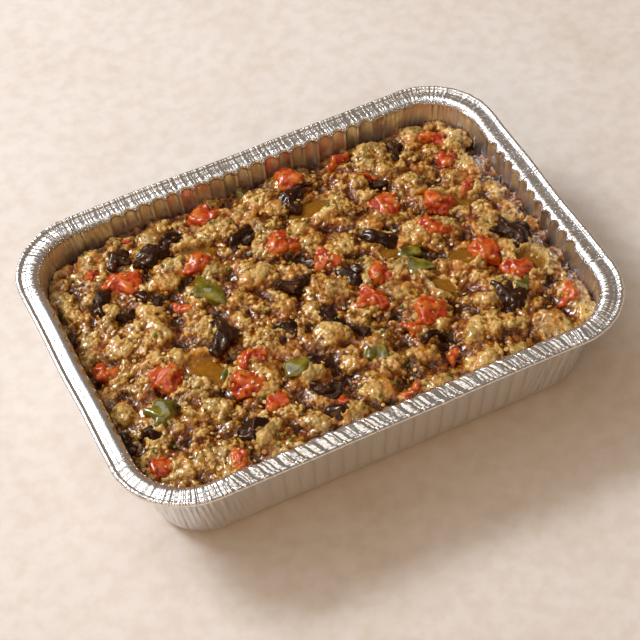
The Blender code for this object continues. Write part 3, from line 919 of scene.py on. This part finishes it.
def strew(name, ground, grain, material, aligned=False, **sizes):
    """Strews copies of a grain over the ground and makes one plain mesh of them.

    sizes: Density per square metre, Spacing, Smallest and Largest radius, Flattest (least share of a
    grain's other two sizes), Lift off the surface, Uneven and its Grain size, and Seed."""
    tree = bpy.data.node_groups.new(name, "GeometryNodeTree")
    tree.interface.new_socket("Geometry", in_out="INPUT", socket_type="NodeSocketGeometry")
    tree.interface.new_socket("Geometry", in_out="OUTPUT", socket_type="NodeSocketGeometry")
    keys = {}
    for label, value in sizes.items():
        whole = isinstance(value, int)
        socket = tree.interface.new_socket(
            label, in_out="INPUT", socket_type="NodeSocketInt" if whole else "NodeSocketFloat")
        keys[socket.identifier] = value
    given = add_node(tree, "NodeGroupInput").outputs
    share = add_node(tree, "GeometryNodeInputNamedAttribute", {"Name": "share"}, data_type="FLOAT")
    places = add_node(
        tree, "GeometryNodeDistributePointsOnFaces",
        {"Mesh": given["Geometry"], "Distance Min": given["Spacing"], "Density Max": given["Density"],
         "Density Factor": share, "Seed": given["Seed"]},
        distribute_method="POISSON",
    )
    lift = add_node(tree, "ShaderNodeVectorMath", {0: places.outputs["Normal"], "Scale": given["Lift"]},
                    operation="SCALE")
    lifted = add_node(tree, "GeometryNodeSetPosition", {"Geometry": places.outputs["Points"], "Offset": lift})
    size = add_node(tree, "FunctionNodeRandomValue", {2: given["Smallest"], 3: given["Largest"],
                                                      "Seed": given["Seed"]}, data_type="FLOAT")
    least = add_node(tree, "ShaderNodeCombineXYZ", {0: given["Flattest"], 1: given["Flattest"],
                                                    2: given["Flattest"]})
    squash = add_node(tree, "FunctionNodeRandomValue", {0: least, 1: (1.0, 1.0, 1.0),
                                                        "Seed": given["Seed"]}, data_type="FLOAT_VECTOR")
    scale = add_node(tree, "ShaderNodeVectorMath", {0: squash, "Scale": size.outputs[1]},
                     operation="SCALE")
    tumble = 0.35 if aligned else math.pi
    turn = add_node(tree, "FunctionNodeRandomValue",
                    {0: (-tumble, -tumble, -math.pi), 1: (tumble, tumble, math.pi), "Seed": given["Seed"]},
                    data_type="FLOAT_VECTOR")
    rotation = turn.outputs[0]
    if aligned:
        rotation = add_node(tree, "FunctionNodeRotateRotation", {0: places.outputs["Rotation"], 1: rotation},
                            rotation_space="LOCAL")
    shape = add_node(tree, "GeometryNodeObjectInfo", {"Object": grain, "As Instance": True})
    laid = add_node(tree, "GeometryNodeInstanceOnPoints",
                    {"Points": lifted, "Instance": shape.outputs["Geometry"], "Rotation": rotation,
                     "Scale": scale})
    shade = add_node(tree, "FunctionNodeRandomValue", {"Seed": given["Seed"]}, data_type="FLOAT")
    tinted = add_node(tree, "GeometryNodeStoreNamedAttribute",
                      {"Geometry": laid, "Name": "tint", "Value": shade.outputs[1]},
                      data_type="FLOAT", domain="INSTANCE")
    real = add_node(tree, "GeometryNodeRealizeInstances", {"Geometry": tinted})
    finer = add_node(tree, "ShaderNodeMath", {0: 1.0, 1: given["Grain"]}, operation="DIVIDE")
    wobble = add_node(tree, "ShaderNodeTexNoise", {"Scale": finer, "Detail": 1.0})
    centred = add_node(tree, "ShaderNodeVectorMath", {0: wobble.outputs["Color"], 1: (0.5, 0.5, 0.5)},
                       operation="SUBTRACT")
    push = add_node(tree, "ShaderNodeVectorMath", {0: centred, "Scale": given["Uneven"]}, operation="SCALE")
    bent = add_node(tree, "GeometryNodeSetPosition", {"Geometry": real, "Offset": push})
    eased = add_node(tree, "GeometryNodeSetShadeSmooth", {"Geometry": bent})
    dressed = add_node(tree, "GeometryNodeSetMaterial", {"Geometry": eased, "Material": material})
    add_node(tree, "NodeGroupOutput", {0: dressed})
    modifier = ground.modifiers.new(name, "NODES")
    modifier.node_group = tree
    for key, value in keys.items():
        modifier[key] = value
    mesh = bpy.data.meshes.new_from_object(ground.evaluated_get(bpy.context.evaluated_depsgraph_get()))
    mesh.name = name
    piece = bpy.data.objects.new(name, mesh)
    scene.collection.objects.link(piece)
    for spent in (ground, grain):
        bpy.data.objects.remove(spent)
    return piece


# The same flesh as the mash, but each crumb has its own depth of roasting, from straw to brown.
CRUMB_TINTS = ((0.0, "#cba868"), (0.3, "#b98332"), (0.6, "#99661f"), (0.85, "#7b4810"), (1.0, "#552c08"))
crumb_flesh, tree, surface, place = new_material("roasted_aubergine_crumbs")
grain = cloud(tree, place, PULP_SIZE, 3.0)
shade = scaled(tree, grain, 0.5, -0.63)
shade = scaled(tree, stored(tree, "tint"), 0.75, shade)
shade = scaled(tree, cloud(tree, place, STAIN_SIZE, 3.0), 0.9, shade)
feed(tree, surface, {
    "Base Color": shades(tree, shade, *CRUMB_TINTS),
    "Normal": dent(tree, grain, 0.4, 0.4 * MM),
    "Roughness": 0.11,
    "IOR": 1.45,
    "Specular Tint": linear(OIL_TINT),
    "Subsurface Weight": 0.35,
    "Subsurface Radius": (1.0, 0.6, 0.15),
    "Subsurface Scale": 1.2 * MM,
})

clumped = smooth(0.35 + 1.1 * drift(x, y, 7 * MM, 51))
strewn = open_mash * (0.25 + 0.75 * dry) * (0.25 + 0.75 * hollow) * clumped
crumbs = strew(
    "mash_crumbs", scatter_ground(strewn), ball(7, 5), crumb_flesh,
    Density=0.065e6, Spacing=1.4 * MM, Smallest=0.6 * MM, Largest=1.4 * MM, Flattest=0.5,
    Lift=-0.4 * MM, Uneven=1.6 * MM, Grain=1.5 * MM, Seed=3,
)
settle(crumbs, "mash")
fines = strew(
    "mash_fine_crumbs", scatter_ground(strewn), ball(6, 4), crumb_flesh,
    Density=0.08e6, Spacing=0.8 * MM, Smallest=0.3 * MM, Largest=0.75 * MM, Flattest=0.5,
    Lift=-0.1 * MM, Uneven=1.0 * MM, Grain=1.0 * MM, Seed=8,
)
settle(fines, "mash")


# ---- Chunks ---------------------------------------------------------------------------------------
# Softened tomato, green pepper and blistered aubergine skin are folded through the mash. They lie
# half sunk in it, each in its own bed.

CHUNK_LEVELS = 3
WARP_SIZE, WARP = 6.5 * MM, 5.0 * MM


def softened(nodes, extra, thickness):
    """The chunks of one kind as smooth closed lumps, each filling its CAD solid's own box.

    extra holds smaller ones: place, length and width in millimetres, and turn in degrees."""
    shapes = []
    for name in nodes:
        work = bmesh.new()
        work.from_mesh(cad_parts[name].data)
        bmesh.ops.remove_doubles(work, verts=work.verts, dist=0.001 * MM)
        shapes.append((work, *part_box(name)))
    for px, py, length, width, turn in extra:
        work = bmesh.new()
        bmesh.ops.create_icosphere(work, subdivisions=1, radius=1.0)
        hit = mash_surface.ray_cast(Vector((px * MM, py * MM, 0.06)), Vector((0, 0, -1)))[0]
        away = Matrix.Translation((px * MM, py * MM, hit.z - 0.2 * thickness))
        spin = Matrix.Rotation(math.radians(turn), 4, "Z")
        stretch = Matrix.Diagonal((length * MM / 2, width * MM / 2, thickness / 2, 1.0))
        work.transform(away @ spin @ stretch)
        low = Vector([min(vertex.co[axis] for vertex in work.verts) for axis in range(3)])
        high = Vector([max(vertex.co[axis] for vertex in work.verts) for axis in range(3)])
        shapes.append((work, low, high))
    made = []
    for work, low, high in shapes:
        rough = bpy.data.meshes.new("chunk")
        work.to_mesh(rough)
        work.free()
        holder = bpy.data.objects.new("chunk", rough)
        scene.collection.objects.link(holder)
        modifier = holder.modifiers.new("soften", "SUBSURF")
        modifier.levels = modifier.render_levels = CHUNK_LEVELS
        mesh = bpy.data.meshes.new_from_object(holder.evaluated_get(bpy.context.evaluated_depsgraph_get()))
        bpy.data.objects.remove(holder)
        points = np.array([vertex.co for vertex in mesh.vertices])
        normals = np.array([vertex.normal for vertex in mesh.vertices])
        span = points.max(0) - points.min(0)
        points = (points - points.min(0)) / span * np.array(high - low) + np.array(low)
        middle = points.mean(0)
        for axis in (0, 1):
            stray = [noise.noise(Vector(spot) / WARP_SIZE + Vector((9.0 * axis, 0, 0))) for spot in points]
            points[:, axis] += WARP * np.array(stray)
        flat = points[:, :2] - middle[:2]
        _, turns = np.linalg.eigh(flat.T @ flat)
        along = np.column_stack((flat @ turns[:, 1], flat @ turns[:, 0], points[:, 2] - middle[2]))
        made.append((points, normals, along, [tuple(face.vertices) for face in mesh.polygons]))
    return made


def chunk_piece(name, shapes, push):
    """Joins the chunks of one kind in one mesh, each point pushed along its normal; keeps the push."""
    points, faces, pushes, tints = [], [], [], []
    start = 0
    for number, (place, normal, along, corners) in enumerate(shapes):
        moved = np.array([push(Vector(spot), line, number) for spot, line in zip(place, along)])
        pushed = place + normal * moved[:, None]
        pushed[:, :2] = within_wall(*pushed.T, -0.4 * MM, True)
        points.append(pushed)
        faces += [tuple(start + at for at in corner) for corner in corners]
        pushes.append(moved / MM)
        tints.append(np.full(len(place), (number * 0.618) % 1))
        start += len(place)
    piece = finish_mesh(name, np.concatenate(points), faces)
    keep_values(piece, "bulge", np.concatenate(pushes))
    keep_values(piece, "tint", np.concatenate(tints))
    return piece


mash_surface = surface_tree([mash])
TOMATO_EXTRA = (
    (-78, 55, 9, 7, 10), (-56, 67, 7, 5, 0), (-51, 20, 9, 8, -40), (48, 50, 9, 7, -10), (11, 13, 9, 8, -40),
    (83, 22, 8, 7, -30), (-13, -54, 9, 6, -97), (36, -54, 8, 7, 0), (26, -38, 8, 7, 0),
)
PULP_BUMP, PULP_RISE = 1.9 * MM, 1.7 * MM


def tomato_push(spot, line, number):
    """Pulpy: uneven as a whole, and covered in soft round swellings."""
    shift = Vector((number * 7.3, 0, 0))
    swelling = noise.voronoi(spot / PULP_BUMP + shift)[0][0]
    large = noise.voronoi(spot / (5.5 * MM) + shift)[0][0]
    return 2.2 * MM * (0.45 - large ** 2) + PULP_RISE * (0.4 - swelling ** 2)


tomato = chunk_piece("tomato_chunks", softened(kinds["tomato"], TOMATO_EXTRA, 6 * MM), tomato_push)

# Skinned tomato softened in oil: bright translucent red pulp under a film of oil that gives sharp
# highlights. Its colour varies at random and is painted darker in the folds and more orange on the
# swellings, as painted shade and light.
TOMATO_DARK, TOMATO_RED, TOMATO_BRIGHT, TOMATO_ORANGE = "#741603", "#a42d06", "#bb4209", "#c8691f"
tomato_pulp, tree, surface, place = new_material("stewed_tomato")
# Painted shade and light: the further a point was pushed out, the brighter and more orange its colour.
shade = scaled(tree, stored(tree, "bulge"), 0.25, cloud(tree, place, 3.5 * MM, 4.0))
feed(tree, surface, {
    "Base Color": shades(tree, shade, (0.2, TOMATO_DARK), (0.42, TOMATO_RED), (0.62, TOMATO_BRIGHT),
                         (0.8, TOMATO_ORANGE)),
    "Normal": dent(tree, cloud(tree, place, 0.9 * MM, 3.0), 0.45, 0.4 * MM),
    "Roughness": 0.16,
    "IOR": 1.36,
    "Subsurface Weight": 0.4,
    "Subsurface Radius": (1.0, 0.3, 0.1),
    "Subsurface Scale": 1.6 * MM,
    "Coat Weight": 0.5,
    "Coat Roughness": 0.04,
})
tomato.data.materials.append(tomato_pulp)
settle(tomato, "tomato", *kinds["tomato"])

PEPPER_EXTRA = ((-49, -19, 8, 7, 0), (-3, 66, 8, 7, 0), (42, 3, 8, 7, 30), (75, -38, 8, 7, -30))


def pepper_push(spot, line, number):
    """Firm: smooth, with a few broad dents."""
    return 0.9 * MM * noise.noise(spot / (5.5 * MM) + Vector((number * 5.1, 3, 0)))


pepper = chunk_piece("pepper_chunks", softened(kinds["pepper"], PEPPER_EXTRA, 6 * MM), pepper_push)

# Roasted green pepper: smooth, translucent olive green going yellow at its thin places, oily.
PEPPER_DARK, PEPPER_GREEN, PEPPER_YELLOW = "#473c04", "#6f660a", "#988823"
pepper_flesh, tree, surface, place = new_material("roasted_green_pepper")
feed(tree, surface, {
    "Base Color": shades(tree, cloud(tree, place, 5.0 * MM, 3.0),
                         (0.3, PEPPER_DARK), (0.5, PEPPER_GREEN), (0.72, PEPPER_YELLOW)),
    "Normal": dent(tree, cloud(tree, place, 1.2 * MM, 2.0), 0.3, 0.3 * MM),
    "Roughness": 0.14,
    "IOR": 1.36,
    "Subsurface Weight": 0.4,
    "Subsurface Radius": (0.8, 1.0, 0.2),
    "Subsurface Scale": 1.5 * MM,
    "Coat Weight": 0.8,
    "Coat Roughness": 0.04,
})
pepper.data.materials.append(pepper_flesh)
settle(pepper, "pepper", *kinds["pepper"])

SKIN_EXTRA = ((52, 45, 8, 6, 0), (66, 58, 8, 6, 20), (-46, -14, 7, 6, 0), (-17, -35, 7, 6, 40),
              (31, -44, 7, 5, 0), (-96, -31, 9, 5, -73))


def skin_push(spot, line, number):
    """Blistered: creased along its length, with ragged folds."""
    shift = Vector((number * 3.7, 1, 0))
    fold = Vector((line[0] / (9 * MM), line[1] / (2.9 * MM), line[2] / (4 * MM)))
    crease = 1 - 2 * abs(noise.noise(fold + shift))
    return 0.5 * MM + 1.6 * MM * noise.noise(spot / (4.6 * MM) + shift) + 1.3 * MM * (crease - 0.4)


skin = chunk_piece("aubergine_skins", softened(kinds["skin"], SKIN_EXTRA, 4.5 * MM), skin_push)

# Charred aubergine skin: nearly black with a purple-brown cast, and glossy with oil.
SKIN_BLACK, SKIN_PURPLE, SKIN_BROWN = "#190603", "#2e1008", "#4a2011"
skin_peel, tree, surface, place = new_material("charred_aubergine_skin")
feed(tree, surface, {
    "Base Color": shades(tree, cloud(tree, place, 3.0 * MM, 4.0),
                         (0.35, SKIN_BLACK), (0.55, SKIN_PURPLE), (0.75, SKIN_BROWN)),
    "Normal": dent(tree, cloud(tree, place, 1.0 * MM, 3.0), 0.5, 0.4 * MM),
    "Roughness": 0.12,
    "IOR": 1.34,
    "Specular Tint": linear(OIL_TINT),
    "Coat Weight": 0.35,
    "Coat Roughness": 0.03,
})
skin.data.materials.append(skin_peel)
settle(skin, "skin", *kinds["skin"])


# ---- Seeds, pepper and herbs ----------------------------------------------------------------------
# Pale aubergine seeds have washed out of the flesh and lie flat on it, each a small disc with a
# dimple. Coarse black pepper and a few herb flecks are sprinkled over everything.

SEED_RINGS = ((0.0, -0.42), (0.75, -0.34), (1.0, 0.0), (0.8, 0.36), (0.42, 0.36), (0.2, 0.12))
SEED_SIDES = 9


def seed_shape():
    """A round flat seed, one unit in radius, with a dimple in its top."""
    work = bmesh.new()
    bottom = work.verts.new((0, 0, SEED_RINGS[0][1]))
    rings = [[work.verts.new((radius * math.cos(2 * math.pi * side / SEED_SIDES),
                              radius * math.sin(2 * math.pi * side / SEED_SIDES), height))
              for side in range(SEED_SIDES)] for radius, height in SEED_RINGS[1:]]
    for side in range(SEED_SIDES):
        after = (side + 1) % SEED_SIDES
        work.faces.new((bottom, rings[0][after], rings[0][side]))
        for low, high in zip(rings, rings[1:]):
            work.faces.new((low[side], low[after], high[after], high[side]))
    work.faces.new(rings[-1])
    bmesh.ops.triangulate(work, faces=work.faces)
    mesh = bpy.data.meshes.new("seed")
    work.to_mesh(mesh)
    work.free()
    grain = bpy.data.objects.new("seed", mesh)
    scene.collection.objects.link(grain)
    return grain


# Boiled seed coat: smooth, translucent cream to straw yellow.
seed_coat, tree, surface, _ = new_material("aubergine_seed")
feed(tree, surface, {
    "Base Color": shades(tree, stored(tree, "tint"), (0.0, "#e9cf95"), (0.5, "#d9b56c"), (1.0, "#bf8c3f")),
    "Roughness": 0.28,
    "Subsurface Weight": 0.4,
    "Subsurface Radius": (1.0, 0.7, 0.4),
    "Subsurface Scale": 0.8 * MM,
    "Coat Weight": 0.5,
    "Coat Roughness": 0.08,
})


def upper_side(*pieces):
    """The upward-facing parts of some pieces, as ground to strew."""
    points, faces = [], []
    for item in pieces:
        start = len(points)
        points += [tuple(vertex.co) for vertex in item.data.vertices]
        faces += [tuple(start + at for at in face.vertices) for face in item.data.polygons]
    ground = finish_mesh("ground", points, faces)
    keep_values(ground, "share", np.array([max(vertex.normal.z, 0) ** 2 for vertex in ground.data.vertices]))
    return ground


seeds = strew(
    "aubergine_seeds", scatter_ground((0.3 + 0.7 * hollow) * clumped), seed_shape(), seed_coat, aligned=True,
    Density=0.03e6, Spacing=3.0 * MM, Smallest=0.75 * MM, Largest=1.2 * MM, Flattest=0.9,
    Lift=0.75 * MM, Uneven=0.0, Grain=1.0 * MM, Seed=5,
)
settle(seeds, "mash")
tomato_seeds = strew(
    "tomato_seeds", upper_side(tomato), seed_shape(), seed_coat, aligned=True,
    Density=0.03e6, Spacing=2.0 * MM, Smallest=0.6 * MM, Largest=1.0 * MM, Flattest=0.7,
    Lift=0.1 * MM, Uneven=0.0, Grain=1.0 * MM, Seed=6,
)
settle(tomato_seeds, "tomato")
clinging = strew(
    "clinging_crumbs", upper_side(tomato, pepper, skin), ball(6, 4), crumb_flesh,
    Density=0.025e6, Spacing=1.2 * MM, Smallest=0.3 * MM, Largest=0.9 * MM, Flattest=0.5,
    Lift=-0.1 * MM, Uneven=0.8 * MM, Grain=1.3 * MM, Seed=7,
)
settle(clinging, "mash")

# Cracked black pepper and char: matt, nearly black, with brown broken faces.
cracked, tree, surface, _ = new_material("cracked_black_pepper")
corn = shades(tree, stored(tree, "tint"), (0.0, "#120c07"), (0.6, "#2a1a0d"), (1.0, "#4f3218"))
feed(tree, surface, {"Base Color": corn, "Roughness": 0.45})
specks = strew(
    "black_pepper", scatter_ground(smooth(0.4 + 1.2 * drift(x, y, 9 * MM, 52))), ball(4, 3), cracked,
    Density=0.2e6, Spacing=0.5 * MM, Smallest=0.15 * MM, Largest=0.42 * MM, Flattest=0.5,
    Lift=0.55 * MM, Uneven=0.3 * MM, Grain=0.6 * MM, Seed=9,
)
settle(specks, "mash")

# Chopped parsley, wilted dark green.
parsley, tree, surface, _ = new_material("chopped_parsley")
leaf = shades(tree, stored(tree, "tint"), (0.0, "#28330a"), (1.0, "#5c6a1c"))
feed(tree, surface, {"Base Color": leaf, "Roughness": 0.35})
herbs = strew(
    "parsley_flecks", scatter_ground(np.ones(x.shape)), ball(6, 3, 0.22), parsley, aligned=True,
    Density=0.006e6, Spacing=3.0 * MM, Smallest=0.6 * MM, Largest=1.5 * MM, Flattest=0.4,
    Lift=0.6 * MM, Uneven=0.8 * MM, Grain=1.5 * MM, Seed=11,
)
settle(herbs, "mash")


# ---- Oil and juice --------------------------------------------------------------------------------
# Olive oil and cooking juice stand in the hollows. The surface is level in the middle and climbs a
# little way up every lump that it touches.

OIL_FILM = 0.15 * MM
OIL_CLIMB = 0.5 * MM
OIL_REACH = 0.04

oil_level = level + PUDDLE_LEVEL - 3.0 * MM * (1 - puddle_share) ** 2
damp = puddle_share > OIL_REACH
floor = np.zeros(x.shape)
floor[damp] = [drop(mash_surface, px, py) for px, py in zip(x[damp], y[damp])]
gap = np.abs(floor - OIL_FILM - oil_level)
oil_height = np.maximum(floor - OIL_FILM, oil_level) + OIL_CLIMB * np.log1p(np.exp(-gap / OIL_CLIMB))
wet = damp[:-1, :-1] & damp[1:, :-1] & damp[:-1, 1:] & damp[1:, 1:] & cells
held, faces, edges = mesh_cells(wet)
upper = np.column_stack((x[held], y[held], oil_height[held]))
lower = np.column_stack((x[held], y[held], np.minimum(floor, oil_height)[held] - 0.8 * MM))
count = len(upper)
faces += [[count + at for at in face[::-1]] for face in faces]
faces += [(two, one, one + count, two + count) for one, two in edges]
faces = [tuple(int(at) for at in face) for face in faces]
oil = finish_mesh("oil_puddles", np.concatenate((upper, lower)), faces)

# Olive oil with roasting juice: clear, deep amber, perfectly smooth.
OIL_AMBER = "#cf8f1e"
olive_oil, tree, surface, _ = new_material("olive_oil")
feed(tree, surface, {
    "Base Color": linear(OIL_AMBER),
    "Roughness": 0.03,
    "IOR": 1.47,
    "Transmission Weight": 0.7,
})
oil.data.materials.append(olive_oil)
settle(oil, "mash")


size = {"cad": [list(v) for v in cad_box], "visual": [list(v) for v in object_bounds()]}
